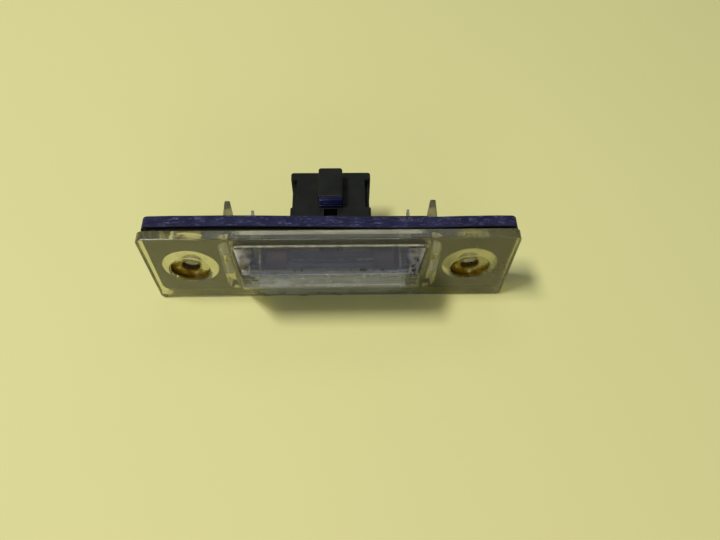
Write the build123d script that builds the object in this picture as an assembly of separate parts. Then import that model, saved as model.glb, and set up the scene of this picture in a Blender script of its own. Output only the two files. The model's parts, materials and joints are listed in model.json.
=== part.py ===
from build123d import *

import os

# Number plate lamp: clear lens, rubber gasket, bulb carrier with plug socket, two stamped contacts, festoon bulb.
# Millimetres. The origin is the middle of the seating plane, where the gasket and the screw bosses meet the panel,
# midway between the screw holes. +X is to the right and +Z up for a viewer who faces the lens, and +Y runs into
# the vehicle, so the lens looks towards -Y.

# Flange of the lens
FLANGE_LENGTH = 95.8
FLANGE_HEIGHT = 28.4
FLANGE_THICKNESS = 2.9
FLANGE_CORNER = 1.6
FLANGE_EDGE = 0.3

# Gasket
GASKET_THICKNESS = 4.7
GASKET_END_INSET = 0.4
GASKET_SIDE_INSET = 1.1
GASKET_CORNER = 1.6
GASKET_STEP_THICKNESS = 0.9
GASKET_STEP_INSET = 0.5
GASKET_EDGE = 0.45
GASKET_CLEARANCE = 0.2
GASKET_WEB = 0.8

# Screw bosses
SCREW_INSET = 10.9
SCREW_HOLE = 5.0
BOSS_DIAMETER = 14.6
RECESS_DIAMETER = 10.4
RECESS_DEPTH = 1.5
RECESS_EDGE = 0.3

# Bulge of the lens
BULGE_LENGTH = 49.8
BULGE_HEIGHT = 22.0
BULGE_DEPTH = 7.7
BULGE_FACE_LENGTH = 44.0
BULGE_FACE_HEIGHT = 6.0
BULGE_FACE_DROP = 1.1
BULGE_WALL = 1.6
BULGE_END_WALL = 2.6
BULGE_EDGE = 1.6
BULGE_END_EDGE = 1.2
BULGE_ROOT = 0.5
HOLLOW_EDGE = 0.9
HOLLOW_END_EDGE = 0.6

# Skirt behind the flange
SKIRT_HEIGHT = 22.4
SKIRT_CORNER = 3.0
SKIRT_END_WALL = 2.6
SKIRT_LONG_WALL = 1.8
SKIRT_RISE = 1.0

# Snap hooks on the skirt
HOOK_THICKNESS = 1.4
HOOK_SETBACK = 0.1
HOOK_WIDTH = 6.0
HOOK_CENTRE = 4.5
HOOK_CATCH = 1.9
HOOK_TIP = 9.6
HOOK_ROUND = 0.3
HOOK_PLAY = 0.1

# Carrier
LID_THICKNESS = 1.5
LID_OVERLAP = 0.4
LID_PLAY = 0.4
LID_CORNER = 2.2
SPIGOT_DEPTH = 1.5
SPIGOT_CLEARANCE = 0.3
COLLAR_WIDTH = 21.9
COLLAR_LENGTH = 6.1
SOCKET_HEIGHT = 11.6
SHROUD_WIDTH = 18.8
SHROUD_LENGTH = 12.2
SHROUD_ROUND = 0.7
LIP_WIDTH = 22.1
LIP_LENGTH = 2.2
LIP_TAPER = 0.4
RAIL_REACH = 1.2
RAIL_DROP = 2.0
SOCKET_SIDE_WALL = 1.1
SOCKET_LONG_WALL = 1.6
SOCKET_FLOOR = 1.2
SOCKET_CORNER = 0.8
BRIDGE_WIDTH = 6.5
BRIDGE_HEIGHT = 4.5
BRIDGE_LENGTH = 10.3
BRIDGE_WALL = 1.2
BRIDGE_ROUND = 0.6
BRIDGE_CORNER = 0.7
POCKET_WIDTH = 3.65
POCKET_LENGTH = 2.4
POCKET_SILL = 0.5
POCKET_DEPTH = 3.0

# Stamped contacts
METAL = 0.6
METAL_PLAY = 0.1
TERMINAL_SPACING = 7.2
TERMINAL_WIDTH = 2.8
TERMINAL_REACH = 7.0
TERMINAL_POINT = 0.9
LUG_OFFSET = 0.925
LUG_WIDTH = 2.4
LUG_OUTER = 7.8
LUG_REACH = 4.0
LUG_ROUND = 0.7
BLADE_WIDTH = 7.2
BLADE_REACH = 4.0
BLADE_ROUND = 2.0

# Festoon bulb
BULB_DEPTH = 6.6
BULB_RISE = 2.8
GLASS_DIAMETER = 9.8
GLASS_WALL = 0.5
GLASS_STRAIGHT = 18.0
GLASS_SHOULDER = 2.2
NECK_DIAMETER = 6.4
CAP_DIAMETER = 7.6
CAP_LENGTH = 5.0
CAP_FLOOR = 0.8
CAP_NOSE = 2.2
CAP_NOSE_TIP = 2.6
CAP_PLAY = 0.05
SEAT_HOLE = 4.6
SEAT_PLAY = 0.03
FILAMENT_LENGTH = 11.0
FILAMENT_DIAMETER = 0.9
LEAD_DIAMETER = 0.5

# Largest distance between places that count as one
SAME_PLACE = 0.001

# Depths along Y that several pieces share
SEAT = 0.0
FLANGE_BACK = SEAT - GASKET_THICKNESS
FLANGE_FRONT = FLANGE_BACK - FLANGE_THICKNESS
BULGE_FRONT = FLANGE_FRONT - BULGE_DEPTH
RIM = SEAT + SKIRT_RISE
LID_BACK = RIM + LID_THICKNESS
SPIGOT_FRONT = RIM - SPIGOT_DEPTH
COLLAR_BACK = LID_BACK + COLLAR_LENGTH
MOUTH = COLLAR_BACK + SHROUD_LENGTH
SOCKET_BOTTOM = COLLAR_BACK + SOCKET_FLOOR

# Lengths that follow from the flange: the screws stand inside its ends, and the gasket leaves a web on each side
# of the skirt, between the opening for the skirt and the opening for the boss.
SCREW_SPACING = FLANGE_LENGTH - 2 * SCREW_INSET
SKIRT_LENGTH = SCREW_SPACING - BOSS_DIAMETER - 2 * (GASKET_WEB + 2 * GASKET_CLEARANCE)

# Half sizes that several pieces share
SKIRT_INNER_X = SKIRT_LENGTH / 2 - SKIRT_END_WALL
SKIRT_INNER_Z = SKIRT_HEIGHT / 2 - SKIRT_LONG_WALL
HOOK_OUTER_X = SKIRT_LENGTH / 2 - HOOK_SETBACK
HOOK_INNER_X = HOOK_OUTER_X - HOOK_THICKNESS
SOCKET_TOP = SOCKET_HEIGHT / 2
SOCKET_INNER_Z = SOCKET_TOP - SOCKET_LONG_WALL
BRIDGE_TOP = SOCKET_TOP + BRIDGE_HEIGHT

# Places along the bulb's axis, measured from its middle
GLASS_END = GLASS_STRAIGHT / 2 + GLASS_SHOULDER
CAP_BOTTOM = GLASS_END + CAP_LENGTH - CAP_FLOOR
CAP_END = GLASS_END + CAP_LENGTH
CAP_TIP = CAP_END + CAP_NOSE
BULB_AXIS = Plane(origin=(0, -BULB_DEPTH, BULB_RISE), x_dir=(1, 0, 0), z_dir=(0, 0, 1))
NOSE_SLOPE = (CAP_DIAMETER - CAP_NOSE_TIP) / 2 / CAP_NOSE
BLADE_INNER_X = CAP_TIP - (SEAT_HOLE - CAP_NOSE_TIP) / 2 / NOSE_SLOPE + SEAT_PLAY

# The lugs stand a little inside the middle of the room between the bulb blades and the catches of the hooks.
LUG_SPACING = BLADE_INNER_X + METAL + HOOK_INNER_X - HOOK_CATCH - 2 * LUG_OFFSET


def slab(sketch, front, back):
    """Extrude a sketch drawn in X and Z from the depth of its front to that of its back."""
    plane = Plane(origin=(0, back, 0), x_dir=(1, 0, 0), z_dir=(0, -1, 0))
    return extrude(plane * sketch, amount=back - front)


def side_solid(outline, half_length):
    """Extrude an outline drawn in Y and Z to both sides of the middle plane."""
    return extrude(Plane.YZ * outline, amount=half_length, both=True)


def plan_solid(outline, bottom, top):
    """Extrude an outline drawn in X and Y from one height to another."""
    return extrude(Plane.XY.offset(bottom) * outline, amount=top - bottom)


def polygon(points):
    """Return the face inside a closed run of straight sides."""
    return make_face(Polyline(*points, close=True))


def inset(points, distances):
    """Move each side of an anticlockwise outline inwards by its own distance and return the new corners."""
    sides = []
    for start, end, distance in zip(points, points[1:] + points[:1], distances):
        along = (Vector(*end) - Vector(*start)).normalized()
        inward = Vector(-along.Y, along.X)
        sides.append((Vector(*start) + inward * distance, along))
    corners = []
    for (p, d), (q, e) in zip(sides[-1:] + sides[:-1], sides):
        gap = q - p
        step = (gap.X * e.Y - gap.Y * e.X) / (d.X * e.Y - d.Y * e.X)
        corner = p + d * step
        corners.append((corner.X, corner.Y))
    return corners


def at_place(shapes, axis, place):
    """Return those of the shapes whose middles lie at one place along an axis."""
    return shapes.filter_by_position(axis, place - SAME_PLACE, place + SAME_PLACE)


def rounded_front(outline, axis, front, radius):
    """Round the corners of an outline that lie on its front line."""
    return fillet(at_place(outline.vertices(), axis, front), radius)


def repeated(sketch, spacing_x, spacing_z=0.0, rows=1):
    """Repeat a sketch at both ends of a spacing in X, in one or two rows in Z."""
    return Sketch() + GridLocations(spacing_x, spacing_z, 2, rows) * sketch


def both_sides(solid):
    """Return a solid together with its mirror image left of the middle plane."""
    return solid + mirror(solid, about=Plane.YZ)


def bulge_form(side, plan, base, front, corner, edge):
    """Return the body inside a side outline and a plan outline, with rounded front and end edges."""
    side_face = rounded_front(polygon(side), Axis.X, front, corner)
    plan_face = polygon(inset(plan, [-FLANGE_THICKNESS, 0, -FLANGE_THICKNESS, 0]))
    height = FLANGE_HEIGHT / 2
    body = side_solid(side_face, FLANGE_LENGTH / 2) & plan_solid(plan_face, -height, height)
    faces = body.faces().sort_by(Axis.X)
    rims = ShapeList(faces[0].edges() + faces[-1].edges())
    return fillet(rims.filter_by(lambda rim: rim.center().Y < base - edge / 2), edge)


def make_lens():
    """Clear moulding: flange, hollow bulge, skirt, screw bosses and snap hooks."""
    flange = slab(RectangleRounded(FLANGE_LENGTH, FLANGE_HEIGHT, FLANGE_CORNER), FLANGE_FRONT, FLANGE_BACK)
    flange = fillet(flange.faces().sort_by(Axis.Y)[0].edges(), FLANGE_EDGE)
    flange = chamfer(flange.faces().sort_by(Axis.Y)[-1].edges(), FLANGE_EDGE)

    # Side view: flat top, short upright face, long slope underneath. Plan view: ends that lean inwards.
    face_top = BULGE_HEIGHT / 2 - BULGE_FACE_DROP
    face_bottom = face_top - BULGE_FACE_HEIGHT
    side = [
        (FLANGE_FRONT, -BULGE_HEIGHT / 2),
        (FLANGE_FRONT, BULGE_HEIGHT / 2),
        (BULGE_FRONT, face_top),
        (BULGE_FRONT, face_bottom),
    ]
    plan = [
        (BULGE_LENGTH / 2, FLANGE_FRONT),
        (-BULGE_LENGTH / 2, FLANGE_FRONT),
        (-BULGE_FACE_LENGTH / 2, BULGE_FRONT),
        (BULGE_FACE_LENGTH / 2, BULGE_FRONT),
    ]
    bulge = bulge_form(side, plan, FLANGE_FRONT, BULGE_FRONT, BULGE_EDGE, BULGE_END_EDGE)
    body = flange + bulge
    roots = at_place(body.edges(), Axis.Y, FLANGE_FRONT)
    roots = roots.filter_by(lambda root: abs(root.center().X) < SCREW_SPACING / 2)
    body = fillet(roots.filter_by(lambda root: abs(root.center().Z) <= BULGE_HEIGHT / 2), BULGE_ROOT)
    skirt = slab(RectangleRounded(SKIRT_LENGTH, SKIRT_HEIGHT, SKIRT_CORNER), FLANGE_BACK, RIM)

    # The hollow follows the bulge at its wall and opens through the flange into the skirt.
    inner_front = BULGE_FRONT + BULGE_WALL
    inner_side = inset(side, [-FLANGE_THICKNESS, BULGE_WALL, BULGE_WALL, BULGE_WALL])
    inner_plan = inset(plan, [-FLANGE_THICKNESS, BULGE_END_WALL, BULGE_WALL, BULGE_END_WALL])
    hollow = bulge_form(inner_side, inner_plan, FLANGE_BACK, inner_front, HOLLOW_EDGE, HOLLOW_END_EDGE)
    inner_length = 2 * SKIRT_INNER_X
    inner_height = 2 * SKIRT_INNER_Z
    passage = RectangleRounded(inner_length, inner_height, SKIRT_CORNER - SKIRT_LONG_WALL)
    hollow = hollow & slab(passage, BULGE_FRONT, FLANGE_BACK)
    chamber = slab(passage, FLANGE_BACK, RIM)

    bosses = slab(repeated(Circle(BOSS_DIAMETER / 2), SCREW_SPACING), FLANGE_BACK, SEAT)
    holes = slab(repeated(Circle(SCREW_HOLE / 2), SCREW_SPACING), FLANGE_FRONT, SEAT)
    recess_floor = FLANGE_FRONT + RECESS_DEPTH
    recesses = slab(repeated(Circle(RECESS_DIAMETER / 2), SCREW_SPACING), FLANGE_FRONT, recess_floor)

    lens = body + skirt + bosses - hollow - chamber - recesses - holes
    rims = at_place(lens.edges().filter_by(GeomType.CIRCLE), Axis.Y, FLANGE_FRONT)
    lens = chamfer(rims.filter_by(lambda rim: rim.is_closed), RECESS_EDGE)
    return lens + make_hooks()


def make_hooks():
    """Four snap hooks: arms that stand on the skirt's end walls, with a long ramp and a catch over the lid."""
    shoulder = LID_BACK + HOOK_PLAY
    outline = [
        (HOOK_OUTER_X, RIM - SKIRT_RISE),
        (HOOK_OUTER_X, HOOK_TIP),
        (HOOK_INNER_X, HOOK_TIP),
        (HOOK_INNER_X - HOOK_CATCH, shoulder),
        (HOOK_INNER_X, shoulder),
        (HOOK_INNER_X, RIM - SKIRT_RISE),
    ]
    face = rounded_front(polygon(outline), Axis.Y, HOOK_TIP, HOOK_ROUND)
    arm = plan_solid(face, HOOK_CENTRE - HOOK_WIDTH / 2, HOOK_CENTRE + HOOK_WIDTH / 2)
    return both_sides(arm + mirror(arm, about=Plane.XY))


def make_gasket():
    """Rubber seal with a step against the flange and openings for the skirt and the bosses."""
    length = FLANGE_LENGTH - 2 * GASKET_END_INSET
    height = FLANGE_HEIGHT - 2 * GASKET_SIDE_INSET
    step_back = FLANGE_BACK + GASKET_STEP_THICKNESS
    band = slab(RectangleRounded(length, height, GASKET_CORNER), step_back, SEAT)
    band = fillet(band.faces().sort_by(Axis.Y)[-1].edges(), GASKET_EDGE)
    shrink = 2 * GASKET_STEP_INSET
    step = slab(RectangleRounded(length - shrink, height - shrink, GASKET_CORNER), FLANGE_BACK, step_back)
    grow = 2 * GASKET_CLEARANCE
    opening = RectangleRounded(SKIRT_LENGTH + grow, SKIRT_HEIGHT + grow, SKIRT_CORNER + GASKET_CLEARANCE)
    boss_holes = repeated(Circle(BOSS_DIAMETER / 2 + GASKET_CLEARANCE), SCREW_SPACING)
    return band + step - slab(opening, FLANGE_BACK, SEAT) - slab(boss_holes, FLANGE_BACK, SEAT)


def make_carrier():
    """Black moulding: lid with spigot, collar, plug socket with lip and side rails, latch bridge."""
    lid_x = HOOK_INNER_X - LID_PLAY
    lid_z = SKIRT_INNER_Z + LID_OVERLAP
    lid = slab(RectangleRounded(2 * lid_x, 2 * lid_z, LID_CORNER), RIM, LID_BACK)
    spigot_x = SKIRT_INNER_X - SPIGOT_CLEARANCE
    spigot_z = SKIRT_INNER_Z - SPIGOT_CLEARANCE
    spigot = slab(RectangleRounded(2 * spigot_x, 2 * spigot_z, LID_CORNER), SPIGOT_FRONT, RIM)
    collar = slab(RectangleRounded(COLLAR_WIDTH, SOCKET_HEIGHT, SHROUD_ROUND), LID_BACK, COLLAR_BACK)

    # Plan of the shroud: lip at the mouth, tapers to the waist, waist down to the collar.
    lip_front = MOUTH - LIP_LENGTH
    waist = SHROUD_WIDTH / 2
    right_side = [
        (waist, COLLAR_BACK),
        (waist, lip_front - LIP_TAPER),
        (LIP_WIDTH / 2, lip_front),
        (LIP_WIDTH / 2, MOUTH),
    ]
    left_side = [(-x, y) for x, y in reversed(right_side)]
    shroud = plan_solid(polygon(right_side + left_side), -SOCKET_TOP, SOCKET_TOP)
    shroud = fillet(shroud.edges().filter_by(Axis.Z).sort_by(Axis.Y)[-2:], SHROUD_ROUND)
    rail = Pos(0, -RAIL_DROP / 2) * Rectangle(SHROUD_WIDTH + 2 * RAIL_REACH, SOCKET_HEIGHT - RAIL_DROP)
    rails = slab(rail, COLLAR_BACK, lip_front)

    # Latch bridge: a rounded channel on the shroud's top, open to the socket and towards the mouth.
    bridge_height = BRIDGE_HEIGHT + SOCKET_LONG_WALL
    bridge_middle = BRIDGE_TOP - bridge_height / 2
    bridge_back = COLLAR_BACK + BRIDGE_LENGTH
    bridge = slab(Pos(0, bridge_middle) * Rectangle(BRIDGE_WIDTH, bridge_height), COLLAR_BACK, bridge_back)
    bridge = fillet(bridge.edges().filter_by(Axis.Z).sort_by(Axis.Y)[-2:], BRIDGE_CORNER)
    bridge = fillet(bridge.faces().sort_by(Axis.Z)[-1].edges(), BRIDGE_ROUND)
    channel_height = BRIDGE_TOP - BRIDGE_WALL
    channel = Pos(0, channel_height / 2) * Rectangle(BRIDGE_WIDTH - 2 * BRIDGE_WALL, channel_height)
    channel = slab(channel, SOCKET_BOTTOM, MOUTH)

    socket = RectangleRounded(SHROUD_WIDTH - 2 * SOCKET_SIDE_WALL, 2 * SOCKET_INNER_Z, SOCKET_CORNER)
    socket = slab(socket, SOCKET_BOTTOM, MOUTH)
    pocket = Pos(0, SOCKET_TOP - POCKET_DEPTH / 2) * Rectangle(POCKET_WIDTH, POCKET_DEPTH)
    pocket_back = COLLAR_BACK - POCKET_SILL
    pocket = slab(pocket, pocket_back - POCKET_LENGTH, pocket_back)

    # Slots that the terminals and the lugs pass through.
    play = 2 * METAL_PLAY
    terminal_slots = repeated(Rectangle(METAL + play, TERMINAL_WIDTH + play), TERMINAL_SPACING)
    lug_slot = Rectangle(METAL + play, LUG_WIDTH + play)
    lug_slots = repeated(lug_slot, LUG_SPACING, 2 * LUG_OUTER - LUG_WIDTH, 2)
    slots = slab(terminal_slots, SPIGOT_FRONT, SOCKET_BOTTOM) + slab(lug_slots, SPIGOT_FRONT, LID_BACK)
    return lid + spigot + collar + shroud + rails + bridge - socket - channel - pocket - slots


def make_contact():
    """Right-hand contact, folded from strip: terminal, strip on the carrier, bulb blade and two lugs."""
    front = SPIGOT_FRONT - METAL
    terminal_x = TERMINAL_SPACING / 2
    lug_x = LUG_SPACING / 2
    strip_start = terminal_x - METAL / 2
    strip_end = lug_x + METAL / 2
    strip = slab(Pos((strip_start + strip_end) / 2, 0) * Rectangle(strip_end - strip_start, TERMINAL_WIDTH),
                 front, SPIGOT_FRONT)
    foot = slab(Pos((BLADE_INNER_X + strip_end) / 2, 0) * Rectangle(strip_end - BLADE_INNER_X, 2 * LUG_OUTER),
                front, SPIGOT_FRONT)

    # Upright leaves, each drawn in Y and Z and one sheet thick.
    tip = SOCKET_BOTTOM + TERMINAL_REACH
    half = TERMINAL_WIDTH / 2
    terminal = make_face(Polyline(
        (front, -half),
        (tip - TERMINAL_POINT, -half),
        (tip, -half + TERMINAL_POINT),
        (tip, half - TERMINAL_POINT),
        (tip - TERMINAL_POINT, half),
        (front, half),
        close=True,
    ))
    lug_end = LID_BACK + LUG_REACH
    lug_length = lug_end - front
    lug = Pos(front + lug_length / 2, LUG_OUTER - LUG_WIDTH / 2) * Rectangle(lug_length, LUG_WIDTH)
    lug = rounded_front(lug, Axis.X, lug_end, LUG_ROUND)
    blade_tip = -BULB_DEPTH - BLADE_REACH
    blade = Pos((blade_tip + SPIGOT_FRONT) / 2, BULB_RISE) * Rectangle(SPIGOT_FRONT - blade_tip, BLADE_WIDTH)
    blade = rounded_front(blade, Axis.X, blade_tip, BLADE_ROUND)
    blade = blade - Pos(-BULB_DEPTH, BULB_RISE) * Circle(SEAT_HOLE / 2)
    leaves = [
        (terminal, terminal_x - METAL / 2),
        (lug, lug_x - METAL / 2),
        (mirror(lug, about=Plane.XZ), lug_x - METAL / 2),
        (blade, BLADE_INNER_X),
    ]
    contact = strip + foot
    for face, x in leaves:
        contact = contact + extrude(Plane.YZ.offset(x) * face, amount=METAL)
    return contact


def turned(points):
    """Revolve an outline, given as places along the bulb's axis and radii, about that axis."""
    axis = Axis(BULB_AXIS.origin, BULB_AXIS.x_dir)
    return revolve(BULB_AXIS * polygon(points), axis=axis)


def make_glass():
    """Glass tube with drawn-in necks."""
    body = GLASS_DIAMETER / 2
    neck = NECK_DIAMETER / 2
    right_outer = [(GLASS_STRAIGHT / 2, body), (GLASS_END, neck), (CAP_BOTTOM, neck)]
    right_inner = [(x, r - GLASS_WALL) for x, r in reversed(right_outer)]
    right = right_outer + right_inner
    left_inner = [(-x, r) for x, r in reversed(right_inner)]
    left_outer = [(-x, r) for x, r in reversed(right_outer)]
    return turned(right + left_inner + left_outer)


def make_cap():
    """Right-hand end cap: a cup over the glass neck with a conical nose."""
    outer = CAP_DIAMETER / 2
    bore = NECK_DIAMETER / 2 + CAP_PLAY
    return turned([
        (GLASS_END, bore),
        (GLASS_END, outer),
        (CAP_END, outer),
        (CAP_TIP, CAP_NOSE_TIP / 2),
        (CAP_TIP, 0),
        (CAP_BOTTOM, 0),
        (CAP_BOTTOM, bore),
    ])


def make_lead():
    """Right-hand lead wire from the cap's floor to the filament."""
    start = FILAMENT_LENGTH / 2
    radius = LEAD_DIAMETER / 2
    return turned([(start, 0), (CAP_BOTTOM, 0), (CAP_BOTTOM, radius), (start, radius)])


def make_filament():
    """Envelope of the coiled filament."""
    half = FILAMENT_LENGTH / 2
    radius = FILAMENT_DIAMETER / 2
    return turned([(-half, 0), (half, 0), (half, radius), (-half, radius)])


def make_parts():
    """Return every piece of the lamp by name."""
    pairs = {"contact": make_contact(), "bulb_cap": make_cap(), "lead": make_lead()}
    parts = {
        "lens": make_lens(),
        "gasket": make_gasket(),
        "carrier": make_carrier(),
        "bulb_glass": make_glass(),
        "filament": make_filament(),
    }
    for name, right in pairs.items():
        parts[name + "_right"] = right
        parts[name + "_left"] = mirror(right, about=Plane.YZ)
    return parts


os.makedirs("parts", exist_ok=True)
for name, piece in make_parts().items():
    export_step(piece, "parts/" + name + ".step")
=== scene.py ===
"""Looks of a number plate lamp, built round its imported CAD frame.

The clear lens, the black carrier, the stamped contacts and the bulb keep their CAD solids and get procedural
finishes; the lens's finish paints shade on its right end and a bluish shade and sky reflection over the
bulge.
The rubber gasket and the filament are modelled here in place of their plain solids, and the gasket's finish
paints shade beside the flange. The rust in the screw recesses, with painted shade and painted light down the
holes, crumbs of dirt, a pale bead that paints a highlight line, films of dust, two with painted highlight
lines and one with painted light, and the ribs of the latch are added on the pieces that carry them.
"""

import json
import logging
import math
import random
from contextlib import contextmanager
from dataclasses import dataclass
from enum import Enum
from typing import Callable, Iterator, Sequence, Union

import bmesh
import bpy
from mathutils import Euler, Matrix, Vector


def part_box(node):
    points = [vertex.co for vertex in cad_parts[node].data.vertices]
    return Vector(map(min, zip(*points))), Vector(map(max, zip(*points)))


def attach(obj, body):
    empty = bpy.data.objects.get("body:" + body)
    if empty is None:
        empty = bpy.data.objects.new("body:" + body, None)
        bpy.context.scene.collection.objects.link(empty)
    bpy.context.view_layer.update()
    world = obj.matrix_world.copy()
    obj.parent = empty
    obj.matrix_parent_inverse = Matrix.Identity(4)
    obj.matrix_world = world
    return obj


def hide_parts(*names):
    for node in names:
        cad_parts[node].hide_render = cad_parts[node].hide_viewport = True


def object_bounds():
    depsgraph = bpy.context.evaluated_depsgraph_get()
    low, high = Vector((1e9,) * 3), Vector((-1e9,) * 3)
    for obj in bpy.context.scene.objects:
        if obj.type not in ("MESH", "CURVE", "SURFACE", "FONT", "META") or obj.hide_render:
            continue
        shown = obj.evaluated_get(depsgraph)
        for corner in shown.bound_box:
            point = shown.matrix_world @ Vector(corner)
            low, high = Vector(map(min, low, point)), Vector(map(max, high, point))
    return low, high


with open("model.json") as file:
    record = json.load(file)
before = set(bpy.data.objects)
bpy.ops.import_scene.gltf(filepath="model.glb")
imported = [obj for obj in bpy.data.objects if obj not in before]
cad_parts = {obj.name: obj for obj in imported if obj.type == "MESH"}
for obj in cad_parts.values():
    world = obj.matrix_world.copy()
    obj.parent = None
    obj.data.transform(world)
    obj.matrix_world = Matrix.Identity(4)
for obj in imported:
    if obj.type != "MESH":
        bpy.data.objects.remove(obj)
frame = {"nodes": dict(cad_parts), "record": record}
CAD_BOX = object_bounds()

# Lengths are in metres. A hair is a gap too small to see, within which two places count as one. Vertices
# nearer than the merge gap are doubled ones.
MM = 0.001
HAIR = 0.01 * MM
MERGE_GAP = 0.002 * MM
ROOT = "root"
LOG = logging.getLogger("number_plate_lamp")
ALONG_X, ALONG_Y, ALONG_Z = range(3)
FACING_X = (0.0, math.pi / 2, 0.0)
FACING_Y = (math.pi / 2, 0.0, 0.0)
FACING_Z = (0.0, 0.0, 0.0)
UNSCALED = (1.0, 1.0, 1.0)

Socket = bpy.types.NodeSocket
Outputs = bpy.types.bpy_prop_collection
Node = bpy.types.Node
Piece = bpy.types.Object
Material = bpy.types.Material
Value = Union[float, Sequence[float], Socket]
Colour = tuple[float, float, float]
Range = tuple[float, float]
PlaceTest = Callable[[Vector], bool]


def mm(low: float, high: float) -> Range:
    """Return two lengths, given in millimetres."""
    return low * MM, high * MM


def point(across: float, depth: float, height: float) -> Vector:
    """Return a place or a step in the lamp's frame, given in millimetres."""
    return Vector((across, depth, height)) * MM


# Limits past the ends of the lamp, for a film that has no such limit.
ABOVE_ALL = mm(60.0, 61.0)
BELOW_ALL = mm(-61.0, -60.0)


class Side(Enum):
    """The two ends of the lamp, as signs along X."""

    LEFT = -1
    RIGHT = 1


class Face(Enum):
    """The two faces of the lens that carry films of dust."""

    FRONT = "front"
    TOP = "top"


class Slot(Enum):
    """Material slots of the record that new pieces take their finish from."""

    GASKET = "gasket_rubber"
    CARRIER = "carrier_plastic"
    WIRE = "wire_metal"


class Effect(Enum):
    """Surface effects that several finishes share."""

    GRAIN = "moulded_grain"
    DUST = "dust_film"
    SCRATCHES = "hairline_scratches"
    EDGES = "rubbed_edges"


class Graph:
    """A shader node tree with short ways to add and join its nodes."""

    def __init__(self, tree: bpy.types.NodeTree) -> None:
        """Keep the tree that the nodes go into."""
        self.tree = tree

    def add(self, kind: str, **settings: object) -> Node:
        """Add a node.

        Args:
            kind: Blender's name of the node type.
            settings: properties to set on the node.

        Returns:
            The new node.
        """
        node = self.tree.nodes.new(kind)
        for name, value in settings.items():
            setattr(node, name, value)
        return node

    def feed(self, target: Socket, value: Value) -> None:
        """Link a socket into an input, or set the input to a constant.

        Args:
            target: the input that takes the value.
            value: an output socket, a number or a row of numbers.
        """
        if isinstance(value, Socket):
            self.tree.links.new(value, target)
        else:
            target.default_value = value

    def fill(self, node: Node, **values: Value) -> Node:
        """Feed several inputs of a node.

        Args:
            node: the node.
            values: the inputs by name, with underscores for spaces.

        Returns:
            The same node.
        """
        for name, value in values.items():
            self.feed(node.inputs[name.replace("_", " ")], value)
        return node

    def coordinates(self) -> Socket:
        """Return the object coordinates, which are metres in the lamp's own frame."""
        return self.add("ShaderNodeTexCoord").outputs["Object"]

    def normal(self) -> Socket:
        """Return the face's own normal."""
        return self.add("ShaderNodeNewGeometry").outputs["Normal"]

    def parts_of(self, vector: Socket) -> Outputs:
        """Return a vector's X, Y and Z."""
        return self.fill(self.add("ShaderNodeSeparateXYZ"), Vector=vector).outputs

    def math(self, operation: str, *values: Value) -> Socket:
        """Combine values, two at a time.

        Args:
            operation: Blender's name of the operation.
            values: the values in order, or the only one.

        Returns:
            The result.
        """
        result = values[0]
        for value in values[1:] or (0.0,):
            node = self.add("ShaderNodeMath", operation=operation)
            self.feed(node.inputs[0], result)
            self.feed(node.inputs[1], value)
            result = node.outputs[0]
        return result

    def times(self, *values: Value) -> Socket:
        """Return the product of values."""
        return self.math("MULTIPLY", *values)

    def plus(self, *values: Value) -> Socket:
        """Return the sum of values."""
        return self.math("ADD", *values)

    def minus(self, first: Value, second: Value) -> Socket:
        """Return the first value less the second."""
        return self.math("SUBTRACT", first, second)

    def most(self, *values: Value) -> Socket:
        """Return the largest of values."""
        return self.math("MAXIMUM", *values)

    def unsigned(self, value: Value) -> Socket:
        """Return a value without its sign."""
        return self.math("ABSOLUTE", value)

    def from_screw(self, across: Socket, height: Socket, offset: float) -> Socket:
        """Return the distance from the axis of the nearer screw, at an offset from the middle."""
        aside = self.minus(self.unsigned(across), offset)
        return self.math("SQRT", self.plus(self.times(aside, aside), self.times(height, height)))

    def turned(self, vector: Socket, angles: Sequence[float], scale: Sequence[float]) -> Socket:
        """Return coordinates turned by angles in radians about X, Y and Z, and then stretched."""
        node = self.add("ShaderNodeMapping")
        return self.fill(node, Vector=vector, Rotation=angles, Scale=scale).outputs["Vector"]

    def ramp(self, value: Value, low: float, high: float, start: float = 0.0, end: float = 1.0) -> Socket:
        """Map a value smoothly, from start at low to end at high, and hold it past them."""
        node = self.add("ShaderNodeMapRange", interpolation_type="SMOOTHSTEP")
        return self.fill(node, Value=value, From_Min=low, From_Max=high, To_Min=start, To_Max=end).outputs[0]

    def fade(self, value: Value, low: float, high: float) -> Socket:
        """Return 1 up to low, falling smoothly to 0 at high."""
        return self.ramp(value, low, high, 1.0, 0.0)

    def blend(self, share: Value, first: Value, second: Value) -> Socket:
        """Mix two colours.

        Args:
            share: 0 for the first colour, 1 for the second.
            first: a colour socket, or red, green and blue.
            second: a colour socket, or red, green and blue.

        Returns:
            The mixed colour.
        """
        node = self.fill(self.add("ShaderNodeMix", data_type="RGBA"), Factor=share)
        colours = [socket for socket in node.inputs if socket.type == "RGBA"]
        for socket, colour in zip(colours, (first, second)):
            self.feed(socket, colour if isinstance(colour, Socket) else (*colour, 1.0))
        return next(socket for socket in node.outputs if socket.type == "RGBA")

    def noise(self, vector: Socket, scale: Value, detail: float = 3.0, roughness: float = 0.55) -> Socket:
        """Return a cloudy value between 0 and 1, at a scale of clouds to the metre."""
        node = self.add("ShaderNodeTexNoise")
        return self.fill(node, Vector=vector, Scale=scale, Detail=detail, Roughness=roughness).outputs["Fac"]

    def cells(self, vector: Socket, scale: Value) -> Socket:
        """Return the distance to the nearest of many scattered points, at a scale of points to the metre."""
        return self.fill(self.add("ShaderNodeTexVoronoi"), Vector=vector, Scale=scale).outputs["Distance"]

    def bump(self, height: Socket, depth: float, strength: float) -> Socket:
        """Turn a height between 0 and 1 into a normal, with the depth in metres that 1 stands for."""
        node = self.add("ShaderNodeBump")
        return self.fill(node, Strength=strength, Distance=depth, Height=height).outputs["Normal"]


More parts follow.
